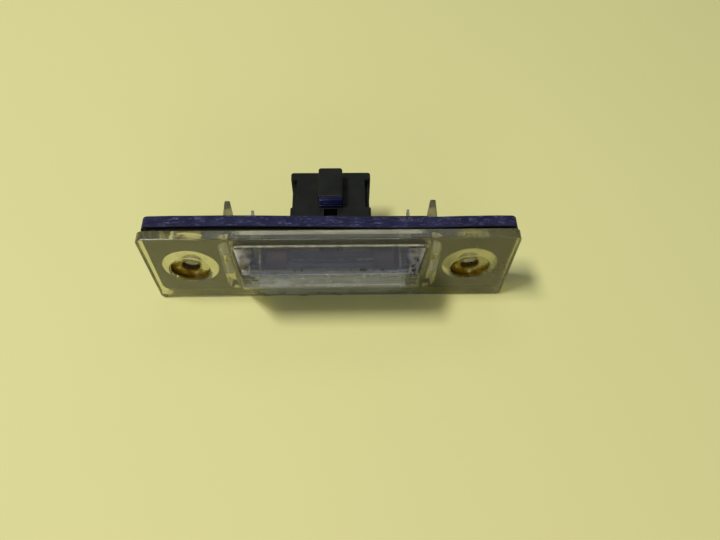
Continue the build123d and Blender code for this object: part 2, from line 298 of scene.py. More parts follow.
class EffectLibrary:
    """Shader node groups for the shared effects, each built once."""

    def __init__(self) -> None:
        """Build every group."""
        self.groups = {
            Effect.GRAIN: self.grain(),
            Effect.DUST: self.dust(),
            Effect.SCRATCHES: self.scratches(),
            Effect.EDGES: self.edges(),
        }

    @staticmethod
    def start(effect: Effect, inputs: dict[str, float], *outputs: str) -> tuple[Graph, Outputs, Socket, Node]:
        """Make an empty group with its sockets.

        Args:
            effect: the effect that names the group.
            inputs: value inputs and their defaults.
            outputs: names of the value outputs.

        Returns:
            The group's graph, what it is given, its coordinates and its output node.
        """
        group = bpy.data.node_groups.new(effect.value, "ShaderNodeTree")
        face = group.interface
        face.new_socket("Vector", in_out="INPUT", socket_type="NodeSocketVector")
        for name, default in inputs.items():
            face.new_socket(name, in_out="INPUT", socket_type="NodeSocketFloat").default_value = default
        for name in outputs:
            face.new_socket(name, in_out="OUTPUT", socket_type="NodeSocketFloat")
        graph = Graph(group)
        given = graph.add("NodeGroupInput").outputs
        return graph, given, given["Vector"], graph.add("NodeGroupOutput")

    def grain(self) -> bpy.types.NodeTree:
        """Build the fine texture of a moulding: its height, and a slow mottle.

        Returns:
            The group.
        """
        values = {"Scale": 4000.0, "Mottle Scale": 150.0}
        graph, given, place, out = self.start(Effect.GRAIN, values, "Height", "Mottle")
        fine = graph.noise(place, given["Scale"], 2.0)
        pits = graph.ramp(graph.cells(place, given["Scale"]), 0.1, 0.5)
        slow = graph.noise(place, given["Mottle Scale"], 4.0)
        graph.fill(out, Height=graph.times(fine, pits), Mottle=graph.ramp(slow, 0.35, 0.68))
        return graph.tree

    def dust(self) -> bpy.types.NodeTree:
        """Build settled dust: patchy, finely broken up, and thicker on faces that look up.

        Returns:
            The group.
        """
        values = {"Scale": 120.0, "Cover": 0.5, "Settling": 0.3}
        graph, given, place, out = self.start(Effect.DUST, values, "Mask")
        patches = graph.noise(place, given["Scale"], 5.0, 0.65)
        specks = graph.noise(place, graph.times(given["Scale"], 14.0), 2.0)
        height = graph.parts_of(graph.normal())["Z"]
        settled = graph.times(graph.ramp(height, 0.1, 1.0), given["Settling"])
        level = graph.plus(graph.times(graph.ramp(patches, 0.3, 0.75), given["Cover"]), settled)
        graph.fill(out, Mask=graph.times(level, graph.ramp(specks, 0.2, 0.7, 0.55, 1.0)))
        return graph.tree

    def scratches(self) -> bpy.types.NodeTree:
        """Build fine scratches: three sets of short streaks that lie askew.

        Returns:
            The group.
        """
        values = {"Scale": 90.0, "Amount": 0.5}
        graph, given, place, out = self.start(Effect.SCRATCHES, values, "Mask")
        total: Value = 0.0
        for turn, stretch in ((0.45, 18.0), (-0.8, 24.0), (1.9, 15.0)):
            line = graph.turned(place, (turn * 0.6, turn, turn * 0.9), (1.0, stretch, stretch))
            total = graph.most(total, graph.ramp(graph.noise(line, given["Scale"], 1.0), 0.70, 0.76))
        graph.fill(out, Mask=graph.times(total, given["Amount"]))
        return graph.tree

    def edges(self) -> bpy.types.NodeTree:
        """Build rubbed edges, found where a rounded normal leaves the face's own.

        Returns:
            The group.
        """
        values = {"Radius": 0.4 * MM, "Break Up": 900.0}
        graph, given, place, out = self.start(Effect.EDGES, values, "Mask")
        rounded = graph.fill(graph.add("ShaderNodeBevel", samples=6), Radius=given["Radius"])
        dot = graph.add("ShaderNodeVectorMath", operation="DOT_PRODUCT")
        graph.feed(dot.inputs[0], rounded.outputs["Normal"])
        graph.feed(dot.inputs[1], graph.normal())
        edge = graph.ramp(graph.minus(1.0, dot.outputs["Value"]), 0.02, 0.2)
        broken = graph.ramp(graph.noise(place, given["Break Up"], 3.0), 0.35, 0.6)
        graph.fill(out, Mask=graph.times(edge, broken))
        return graph.tree


class Paint(Graph):
    """The graph of one material, with its shader, its coordinates and the shared effects."""

    def __init__(self, material: Material, effects: EffectLibrary) -> None:
        """Start from an empty tree with one shader.

        Args:
            material: the material to paint.
            effects: the shared node groups.
        """
        material.use_nodes = True
        super().__init__(material.node_tree)
        self.tree.nodes.clear()
        self.shader = self.add("ShaderNodeBsdfPrincipled")
        self.place = self.coordinates()
        self.effects = effects

    def effect(self, effect: Effect, **values: float) -> Outputs:
        """Place a shared effect with its own values, and return its outputs."""
        node = self.add("ShaderNodeGroup", node_tree=self.effects.groups[effect])
        return self.fill(node, Vector=self.place, **values).outputs

    def shade(self, **values: Value) -> None:
        """Feed the shader's inputs by name, with underscores for spaces."""
        self.fill(self.shader, **values)


@dataclass(frozen=True)
class Finish:
    """A finish of one kind of surface. Each kind paints its own shader."""

    name: str

    def material(self, effects: EffectLibrary) -> Material:
        """Make the material.

        Args:
            effects: the shared node groups.

        Returns:
            The new material.
        """
        material = bpy.data.materials.new(self.name)
        graph = Paint(material, effects)
        self.paint(graph)
        graph.fill(graph.add("ShaderNodeOutputMaterial"), Surface=self.surface(graph))
        return material

    def paint(self, graph: Paint) -> None:
        """Feed the shader's inputs. Each finish has its own way."""
        raise NotImplementedError

    def surface(self, graph: Paint) -> Socket:
        """Return what the output shows, which is the shader itself unless a finish lets lamps through."""
        return graph.shader.outputs["BSDF"]


@dataclass(frozen=True)
class ClearFinish(Finish):
    """A clear finish that lets lamplight through to what it covers."""

    passed: Colour

    def surface(self, graph: Paint) -> Socket:
        """Return the shader for all rays but those from lamps, which pass with a tint.

        Args:
            graph: the material's graph.

        Returns:
            The mixed shader.
        """
        from_lamp = graph.add("ShaderNodeLightPath").outputs["Is Shadow Ray"]
        window = graph.fill(graph.add("ShaderNodeBsdfTransparent"), Color=(*self.passed, 1.0))
        mix = graph.fill(graph.add("ShaderNodeMixShader"), Fac=from_lamp)
        graph.feed(mix.inputs[1], graph.shader.outputs["BSDF"])
        graph.feed(mix.inputs[2], window.outputs["BSDF"])
        return mix.outputs["Shader"]


@dataclass(frozen=True)
class ClearPlastic(ClearFinish):
    """Aged clear plastic: dusty, hazy on the face of the bulge, dirty at its ends and grimy on the hooks."""

    tint: Colour = (0.82, 0.80, 0.56)
    film: Colour = (0.36, 0.34, 0.16)
    # Painted shade with a painted bluish sky reflection, laid over the bulge inside its end walls.
    painted_sky_shade: Colour = (0.42, 0.44, 0.60)
    haze: Colour = (0.66, 0.68, 0.72)
    soil: Colour = (0.15, 0.13, 0.08)
    grime: Colour = (0.34, 0.32, 0.19)
    stain: Colour = (0.72, 0.60, 0.24)
    roughness: Range = (0.05, 0.30)
    stain_roughness: float = 0.55
    index: float = 1.49
    clearness: float = 0.94
    screw_offset: float = 37.0 * MM
    stain_reach: Range = mm(2.55, 3.2)
    bulge_root: Range = mm(-8.5, -7.7)
    front_face: Range = mm(-15.0, -13.2)
    low_face: Range = mm(2.0, 5.0)
    soiled_ends: Range = mm(18.6, 21.0)
    end_walls: Range = mm(22.0, 23.4)
    # Painted shade: over this range the dust film thickens towards the right end, darkening the side that
    # gets less light.
    painted_shade_side: Range = mm(15.0, 40.0)
    hooks: Range = mm(0.0, 2.0)
    flow_depth: float = 0.05 * MM
    flow_scale: float = 70.0
    cloud_scale: float = 240.0
    patch_scale: float = 420.0

    def paint(self, graph: Paint) -> None:
        """Feed colour, roughness and normal.

        Args:
            graph: the material's graph.
        """
        place = graph.place
        across, depth, height = graph.parts_of(place)
        aside = graph.unsigned(across)
        dust = graph.effect(Effect.DUST, Scale=130.0, Cover=0.45, Settling=0.1)["Mask"]
        # The film mask is dust plus painted shade that grows towards the right end.
        film = graph.plus(dust, graph.ramp(across, *self.painted_shade_side, 0.0, 0.5))
        scratch = graph.effect(Effect.SCRATCHES, Scale=60.0, Amount=0.5)["Mask"]
        bulge = graph.fade(depth, *self.bulge_root)
        front = graph.ramp(depth, *self.front_face, 0.9, 0.2)
        face = graph.most(front, graph.ramp(height, *self.low_face, 0.75, 0.2))
        clouds = graph.ramp(graph.noise(place, self.cloud_scale, 4.0, 0.6), 0.25, 0.75, 0.6, 1.0)
        haze = graph.times(bulge, face, clouds)
        patches = graph.ramp(graph.noise(place, self.patch_scale, 4.0, 0.6), 0.3, 0.6)
        inward = graph.times(bulge, graph.fade(aside, *self.end_walls))
        soil = graph.times(graph.ramp(aside, *self.soiled_ends), inward, patches)
        hooks = graph.ramp(depth, *self.hooks)
        bore = graph.fade(graph.from_screw(across, height, self.screw_offset), *self.stain_reach)
        colour = graph.blend(film, self.tint, self.film)
        # Painted shade and bluish sky reflection over the bulge, inside its end walls.
        colour = graph.blend(graph.times(inward, 0.85), colour, self.painted_sky_shade)
        colour = graph.blend(haze, colour, self.haze)
        colour = graph.blend(soil, colour, self.soil)
        colour = graph.blend(hooks, colour, self.grime)
        worn = graph.ramp(graph.most(film, haze, scratch, hooks), 0.0, 1.0, *self.roughness)
        relief = graph.minus(graph.noise(place, self.flow_scale, 1.0), graph.times(scratch, 0.06))
        graph.shade(Base_Color=graph.blend(bore, colour, self.stain),
                    Roughness=graph.most(worn, graph.times(bore, self.stain_roughness)),
                    Normal=graph.bump(relief, self.flow_depth, 0.3),
                    IOR=self.index, Transmission_Weight=self.clearness)


@dataclass(frozen=True)
class BulbGlass(ClearFinish):
    """Thin bulb glass with a faint grey film from the filament."""

    tint: Colour = (0.95, 0.95, 0.93)
    smoke: Colour = (0.62, 0.60, 0.56)
    roughness: Range = (0.02, 0.12)
    index: float = 1.5

    def paint(self, graph: Paint) -> None:
        """Feed colour and roughness.

        Args:
            graph: the material's graph.
        """
        smoke = graph.effect(Effect.DUST, Scale=160.0, Cover=0.5, Settling=0.2)["Mask"]
        graph.shade(Base_Color=graph.blend(smoke, self.tint, self.smoke),
                    Roughness=graph.ramp(smoke, 0.0, 1.0, *self.roughness),
                    IOR=self.index, Transmission_Weight=1.0)


@dataclass(frozen=True)
class Moulding(Finish):
    """Opaque moulded plastic or rubber: fine grain, slow mottle, dust on top and rubbed edges."""

    dark: Colour
    light: Colour
    film: Colour
    rubbed: Colour
    roughness: Range
    cover: float
    settling: float = 0.0
    grain_scale: float = 5200.0
    grain_depth: float = 0.02 * MM
    mottle_scale: float = 240.0
    gloss: float = 0.25
    edge_width: float = 0.35 * MM
    edge_scale: float = 700.0

    def paint(self, graph: Paint) -> None:
        """Feed colour, roughness and normal.

        Args:
            graph: the material's graph.
        """
        grain = graph.effect(Effect.GRAIN, Scale=self.grain_scale, Mottle_Scale=self.mottle_scale)
        film = graph.effect(Effect.DUST, Scale=self.mottle_scale, Cover=self.cover,
                            Settling=self.settling)["Mask"]
        edge = graph.effect(Effect.EDGES, Radius=self.edge_width, Break_Up=self.edge_scale)["Mask"]
        colour = graph.blend(grain["Mottle"], self.dark, self.light)
        colour = graph.blend(film, colour, self.film)
        wear = graph.minus(graph.most(grain["Mottle"], film), graph.times(edge, 0.4))
        graph.shade(Base_Color=self.over(graph, graph.blend(graph.times(edge, 0.5), colour, self.rubbed)),
                    Roughness=graph.ramp(wear, 0.0, 1.0, *self.roughness),
                    Normal=graph.bump(grain["Height"], self.grain_depth, 0.6),
                    Specular_IOR_Level=self.gloss)

    def over(self, graph: Paint, colour: Socket) -> Socket:
        """Return the colour with what lies over it, which is nothing on a plain moulding."""
        return colour


@dataclass(frozen=True)
class SealRubber(Moulding):
    """Scuffed rubber: pale streaks across it, and painted shade in the narrow gap beside the flange."""

    scuff: Colour = (0.115, 0.112, 0.22)
    groove_shade: Colour = (0.0035, 0.0035, 0.0035)
    groove_back: Range = mm(-3.5, -3.25)
    streak_turn: tuple[float, float, float] = (0.0, 0.0, 0.6)
    streak_scale: tuple[float, float, float] = (420.0, 1500.0, 900.0)
    spot_scale: float = 1500.0

    def over(self, graph: Paint, colour: Socket) -> Socket:
        """Lay the streaks and the painted shade beside the flange over the colour.

        Args:
            graph: the material's graph.
            colour: the plain rubber's colour.

        Returns:
            The new colour.
        """
        streaks = graph.noise(graph.turned(graph.place, self.streak_turn, self.streak_scale), 1.0, 4.0, 0.65)
        spots = graph.noise(graph.place, self.spot_scale, 3.0, 0.6)
        marks = graph.times(graph.ramp(streaks, 0.48, 0.72), graph.ramp(spots, 0.35, 0.65))
        # Painted shade: near-black where the rubber lies in the narrow gap beside the flange, where shade
        # falls.
        dirt = graph.fade(graph.parts_of(graph.place)["Y"], *self.groove_back)
        return graph.blend(dirt, graph.blend(marks, colour, self.scuff), self.groove_shade)


@dataclass(frozen=True)
class Metal(Finish):
    """Bare or plated metal with rolling marks, fine scratches and patches of tarnish."""

    bright: Colour
    dull: Colour
    roughness: Range
    patch_scale: float
    tarnish: float
    scratch_depth: float = 0.01 * MM
    scratch_scale: float = 220.0

    def paint(self, graph: Paint) -> None:
        """Feed colour, roughness and normal.

        Args:
            graph: the material's graph.
        """
        patch = graph.effect(Effect.DUST, Scale=self.patch_scale, Cover=self.tarnish, Settling=0.0)["Mask"]
        scratch = graph.effect(Effect.SCRATCHES, Scale=self.scratch_scale, Amount=0.8)["Mask"]
        graph.shade(Base_Color=graph.blend(patch, self.bright, self.dull),
                    Roughness=graph.ramp(graph.most(patch, scratch), 0.0, 1.0, *self.roughness),
                    Normal=graph.bump(scratch, self.scratch_depth, 0.4), Metallic=1.0)


@dataclass(frozen=True)
class Rust(Finish):
    """Rust left by a screw: golden where thin, dark brown on the low wall; painted shade, then painted light,
    down the hole.
    """

    screw_offset: float
    recess_radius: float
    floor: float
    thin: Colour = (0.36, 0.255, 0.035)
    thick: Colour = (0.125, 0.068, 0.002)
    shade: Colour = (0.090, 0.066, 0.016)
    # Painted light: this pale colour low down in the hole stands in for the lit floor seen through the hole.
    scale: Colour = (0.97, 0.92, 0.62)
    crust_scale: float = 520.0
    fine_scale: float = 3120.0
    crust_depth: float = 0.06 * MM
    gloss: float = 0.1
    wall: Range = mm(-1.6, -0.2)
    low_side: Range = mm(-4.0, 3.0)
    left_side: Range = mm(-4.0, 4.0)
    hole_edge: Range = mm(2.6, 3.4)
    bore: Range = mm(0.1, 0.6)
    painted_light_depth: Range = mm(1.7, 2.1)
    lower_half: Range = mm(-0.8, 0.4)

    def paint(self, graph: Paint) -> None:
        """Feed colour, roughness, alpha and normal.

        Args:
            graph: the material's graph.
        """
        across, depth, height = graph.parts_of(graph.place)
        sunk = graph.minus(depth, self.floor)
        clouds = graph.noise(graph.place, self.crust_scale, 5.0, 0.65)
        fine = graph.noise(graph.place, self.fine_scale, 3.0)
        reach = graph.from_screw(across, height, self.screw_offset)
        aside = graph.minus(graph.unsigned(across), self.screw_offset)
        wall = graph.ramp(graph.minus(reach, self.recess_radius), *self.wall, -0.08, 0.1)
        low = graph.ramp(height, *self.low_side, 0.16, -0.12)
        lean = graph.ramp(graph.times(aside, graph.math("SIGN", across)), *self.left_side, 0.08, -0.2)
        level = graph.plus(clouds, lean, wall, low)
        round_hole = graph.ramp(reach, *self.hole_edge, 0.14, 0.0)
        # Painted light low down in the hole, in place of the lit floor seen through it; just inside the
        # hole's mouth the colour is painted shade.
        painted_light_depth = graph.ramp(sunk, *self.painted_light_depth)
        colour = graph.blend(graph.ramp(level, 0.42, 0.68), self.thin, self.thick)
        colour = graph.blend(graph.ramp(sunk, *self.bore), colour, self.shade)
        spread = graph.ramp(graph.plus(level, round_hole), 0.36, 0.58, 0.08, 1.0)
        crust = graph.times(spread, graph.minus(1.0, painted_light_depth))
        graph.shade(Base_Color=graph.blend(painted_light_depth, colour, self.scale),
                    Roughness=graph.ramp(fine, 0.2, 0.8, 0.65, 0.95),
                    Alpha=graph.most(crust, graph.times(painted_light_depth, graph.fade(height, *self.lower_half))),
                    Normal=graph.bump(fine, self.crust_depth, 0.8),
                    Specular_IOR_Level=self.gloss)


@dataclass(frozen=True)
class Grime(Finish):
    """Dark crumbs of dirt, browner where they are dry."""

    wet: Colour = (0.010, 0.009, 0.010)
    dry: Colour = (0.045, 0.038, 0.032)
    grain_depth: float = 0.05 * MM
    grain_scale: float = 5200.0
    mottle_scale: float = 900.0

    def paint(self, graph: Paint) -> None:
        """Feed colour, roughness and normal.

        Args:
            graph: the material's graph.
        """
        grain = graph.effect(Effect.GRAIN, Scale=self.grain_scale, Mottle_Scale=self.mottle_scale)
        graph.shade(Base_Color=graph.blend(grain["Mottle"], self.wet, self.dry),
                    Roughness=graph.ramp(grain["Height"], 0.0, 0.6, 0.6, 0.95),
                    Normal=graph.bump(grain["Height"], self.grain_depth, 0.7))


@dataclass(frozen=True)
class DustFilm(Finish):
    """Pale film of dust and fine wear in long streaks.

    It may have a painted highlight line at one height, limits of height, and soil banked up at its right end.
    """

    ends: Range
    cover: Range
    highlight_height: float = ABOVE_ALL[0]
    crest_reach: float = 1.0 * MM
    upper: Range = ABOVE_ALL
    lower: Range = BELOW_ALL
    soil_start: Range = ABOVE_ALL
    soil_end: Range = mm(21.2, 22.4)
    soil_foot: Range = mm(1.0, 4.5)
    fray: float = 5.0 * MM
    lean: Range = (1.35, 0.92)
    lean_reach: Range = mm(-22.0, 12.0)
    streak_scale: tuple[float, float, float] = (60.0, 700.0, 700.0)
    cloud_scale: float = 260.0
    crumb_scale: float = 620.0
    pale: Colour = (0.84, 0.86, 1.0)
    dull: Colour = (0.46, 0.47, 0.60)
    soil: Colour = (0.022, 0.019, 0.012)
    gloss: float = 0.1

    def paint(self, graph: Paint) -> None:
        """Feed colour, roughness and alpha.

        Args:
            graph: the material's graph.
        """
        place = graph.place
        across, _, height = graph.parts_of(place)
        streaks = graph.noise(graph.turned(place, FACING_Z, self.streak_scale), 1.0, 4.0, 0.6)
        clouds = graph.noise(place, self.cloud_scale, 4.0, 0.6)
        frayed = graph.ramp(clouds, 0.25, 0.75, -self.fray, self.fray)
        aside = graph.unsigned(graph.minus(height, self.highlight_height))
        # Painted highlight: a pale line along one height, standing in for the light along an edge.
        line = graph.times(graph.fade(aside, 0.0, self.crest_reach), graph.ramp(clouds, 0.3, 0.5, 0.35, 1.0))
        dense = graph.plus(graph.times(streaks, 0.6), graph.times(clouds, 0.4))
        cover = graph.most(graph.ramp(dense, 0.36, 0.64, *self.cover), line)
        cover = graph.times(cover, graph.ramp(across, *self.lean_reach, *self.lean))
        shore = graph.fade(graph.plus(graph.unsigned(across), frayed), *self.ends)
        head = graph.fade(height, *self.upper)
        foot = graph.ramp(graph.minus(height, frayed), *self.lower)
        crumbs = graph.ramp(graph.noise(place, self.crumb_scale, 4.0, 0.6), 0.40, 0.52)
        banked = graph.times(graph.ramp(across, *self.soil_start), graph.fade(across, *self.soil_end))
        soil = graph.times(banked, crumbs, graph.ramp(height, *self.soil_foot))
        colour = graph.blend(graph.most(dense, line), self.dull, self.pale)
        graph.shade(Base_Color=graph.blend(soil, colour, self.soil),
                    Roughness=graph.ramp(streaks, 0.2, 0.8, 0.7, 0.95),
                    Alpha=graph.most(graph.times(cover, shore, head, foot), soil),
                    Specular_IOR_Level=self.gloss)


class Bench:
    """Modelling steps on one piece at a time, as by hand."""

    @staticmethod
    def clear() -> None:
        """Leave edit mode and deselect everything."""
        if bpy.context.object is not None and bpy.context.object.mode != "OBJECT":
            bpy.ops.object.mode_set(mode="OBJECT")
        bpy.ops.object.select_all(action="DESELECT")

    @staticmethod
    def named(name: str) -> Piece:
        """Give the active piece its name, and put its place into its mesh.

        Args:
            name: the piece's name.

        Returns:
            The piece.
        """
        piece = bpy.context.object
        piece.name = name
        piece.data.name = name
        bpy.ops.object.transform_apply(location=True, rotation=True, scale=True)
        return piece

    @staticmethod
    def start(shape: Callable, name: str, scale: Sequence[float] = UNSCALED, **settings: object) -> Piece:
        """Add a primitive as the start of a piece.

        Args:
            shape: the operator that adds the primitive.
            name: the piece's name.
            scale: factors along the primitive's own axes.
            settings: the operator's settings.

        Returns:
            The piece.
        """
        Bench.clear()
        shape(**settings)
        bpy.context.object.scale = scale
        return Bench.named(name)

    @staticmethod
    def take(piece: Piece) -> None:
        """Make one piece the only one selected.

        Args:
            piece: the piece.
        """
        Bench.clear()
        bpy.context.view_layer.objects.active = piece
        piece.select_set(True)

    @staticmethod
    @contextmanager
    def editing(piece: Piece) -> Iterator[None]:
        """Hold one piece in edit mode with all of its mesh selected.

        Args:
            piece: the piece to edit.
        """
        Bench.take(piece)
        bpy.ops.object.mode_set(mode="EDIT")
        bpy.ops.mesh.select_all(action="SELECT")
        yield
        bpy.ops.object.mode_set(mode="OBJECT")

    @staticmethod
    def choose(piece: Piece, mode: str, wanted: Callable[[list[Vector]], bool]) -> None:
        """Select parts of a mesh in edit mode.

        Args:
            piece: the piece in edit mode.
            mode: VERT, EDGE or FACE, which also sets the selection mode.
            wanted: says whether a part with these corners is selected.
        """
        bpy.ops.mesh.select_mode(type=mode)
        bpy.ops.mesh.select_all(action="DESELECT")
        mesh = bmesh.from_edit_mesh(piece.data)
        for item in {"VERT": mesh.verts, "EDGE": mesh.edges, "FACE": mesh.faces}[mode]:
            corners = [item] if mode == "VERT" else item.verts
            if wanted([corner.co for corner in corners]):
                item.select_set(True)
        bmesh.update_edit_mesh(piece.data)

    @staticmethod
    def pick(piece: Piece, test: PlaceTest, mode: str = "VERT") -> None:
        """Select in edit mode what lies wholly on vertices that pass a test of their place."""
        Bench.choose(piece, mode, lambda corners: all(test(corner) for corner in corners))

    @staticmethod
    def pick_edges(piece: Piece, axis: int) -> None:
        """Select in edit mode the edges that run along one axis.

        Args:
            piece: the piece in edit mode.
            axis: the axis.
        """

        def runs_along(ends: list[Vector]) -> bool:
            """Return whether two ends differ along the axis alone."""
            return all(abs(ends[1][other] - ends[0][other]) < HAIR for other in range(3) if other != axis)

        Bench.choose(piece, "EDGE", runs_along)

    @staticmethod
    def put_in_order(piece: Piece) -> None:
        """Order the vertices in edit mode by place, so that random moves fall alike in every run.

        Args:
            piece: the piece in edit mode.
        """
        corners = bmesh.from_edit_mesh(piece.data).verts
        ordered = sorted(corners, key=lambda corner: [round(part / HAIR) for part in corner.co])
        ranks = {corner: rank for rank, corner in enumerate(ordered)}
        corners.sort(key=ranks.get)

    @staticmethod
    def extrude(*step: float) -> None:
        """Extrude the selected region by a step along X, Y and Z in metres."""
        bpy.ops.mesh.extrude_region_move(TRANSFORM_OT_translate={"value": step})

    @staticmethod
    def extrude_edges(*step: float) -> None:
        """Extrude the selected edges by a step along X, Y and Z in metres."""
        bpy.ops.mesh.extrude_edges_move(TRANSFORM_OT_translate={"value": step})

    @staticmethod
    def face_outwards() -> None:
        """Point all faces of the mesh in edit mode outwards."""
        bpy.ops.mesh.select_all(action="SELECT")
        bpy.ops.mesh.normals_make_consistent(inside=False)

    @staticmethod
    def divide(axis: int, levels: Sequence[float]) -> None:
        """Cut new edges into the mesh in edit mode by planes across one axis.

        Args:
            axis: the axis.
            levels: where the planes stand along it.
        """
        normal = Vector(float(index == axis) for index in range(3))
        for level in levels:
            bpy.ops.mesh.select_all(action="SELECT")
            bpy.ops.mesh.bisect(plane_co=normal * level, plane_no=normal)

    @staticmethod
    def modify(piece: Piece, kind: str, **settings: object) -> None:
        """Add a modifier and apply it.

        Args:
            piece: the piece.
            kind: Blender's name of the modifier type.
            settings: the modifier's properties.
        """
        Bench.take(piece)
        modifier = piece.modifiers.new(kind.lower(), kind)
        for name, value in settings.items():
            setattr(modifier, name, value)
        bpy.ops.object.modifier_apply(modifier=modifier.name)

    @staticmethod
    def cut(piece: Piece, cutter: Piece) -> None:
        """Cut one piece out of another and throw the cutter away."""
        Bench.modify(piece, "BOOLEAN", operation="DIFFERENCE", solver="EXACT", object=cutter)
        bpy.data.objects.remove(cutter)

    @staticmethod
    def tidy(piece: Piece, angle: float) -> Piece:
        """Merge doubled vertices, point the faces outwards and shade by angle.

        Args:
            piece: the piece.
            angle: the largest angle in degrees that is shaded smooth.

        Returns:
            The same piece.
        """
        with Bench.editing(piece):
            bpy.ops.mesh.remove_doubles(threshold=MERGE_GAP)
            bpy.ops.mesh.normals_make_consistent(inside=False)
        piece.select_set(True)
        bpy.ops.object.shade_smooth_by_angle(angle=math.radians(angle))
        return piece

    @staticmethod
    def copies(pattern: Piece, places: Sequence[Matrix], name: str) -> Piece:
        """Copy a pattern piece to many places, each with a mesh of its own, and join the copies.

        Args:
            pattern: the piece to copy, which is removed at the end.
            places: where each copy goes.
            name: the name of the joined piece.

        Returns:
            The joined piece.
        """
        Bench.clear()
        for place in places:
            copy = pattern.copy()
            copy.data = pattern.data.copy()
            copy.data.transform(place)
            bpy.context.collection.objects.link(copy)
            copy.select_set(True)
            bpy.context.view_layer.objects.active = copy
        bpy.ops.object.join()
        bpy.data.objects.remove(pattern)
        return Bench.named(name)


def dress(piece: Piece, material: Material) -> None:
    """Give a piece one material all over."""
    piece.data.materials.clear()
    piece.data.materials.append(material)


def mount(piece: Piece, material: Material, stands_for: Sequence[str] = ()) -> None:
    """Dress a finished piece, fix it to the lamp's body and report it.

    Args:
        piece: the finished piece.
        material: its material.
        stands_for: the CAD nodes that the piece replaces.
    """
    dress(piece, material)
    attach(piece, ROOT)
    if stands_for:
        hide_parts(*stands_for)
    LOG.info("%s: %d faces", piece.name, len(piece.data.polygons))


@dataclass
class ScrewPoints:
    """Where the two screws go, read from the frame's mount."""

    spacing: float
    recess_floor: float = -6.1 * MM

    @classmethod
    def from_record(cls, record: dict) -> "ScrewPoints":
        """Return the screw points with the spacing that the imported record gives."""
        holes = next(entry for entry in record["mounts"] if entry["name"] == "screw_holes")
        return cls(holes["dims"]["spacing_x_mm"] * MM)

    def centre(self, side: Side) -> float:
        """Return the place of one screw along X."""
        return side.value * self.spacing / 2


@dataclass(frozen=True)
class RimBend:
    """One slow bend of the seal's upper edge: its middle along X, its height and its reach to each side."""

    middle: float
    height: float
    reach: float


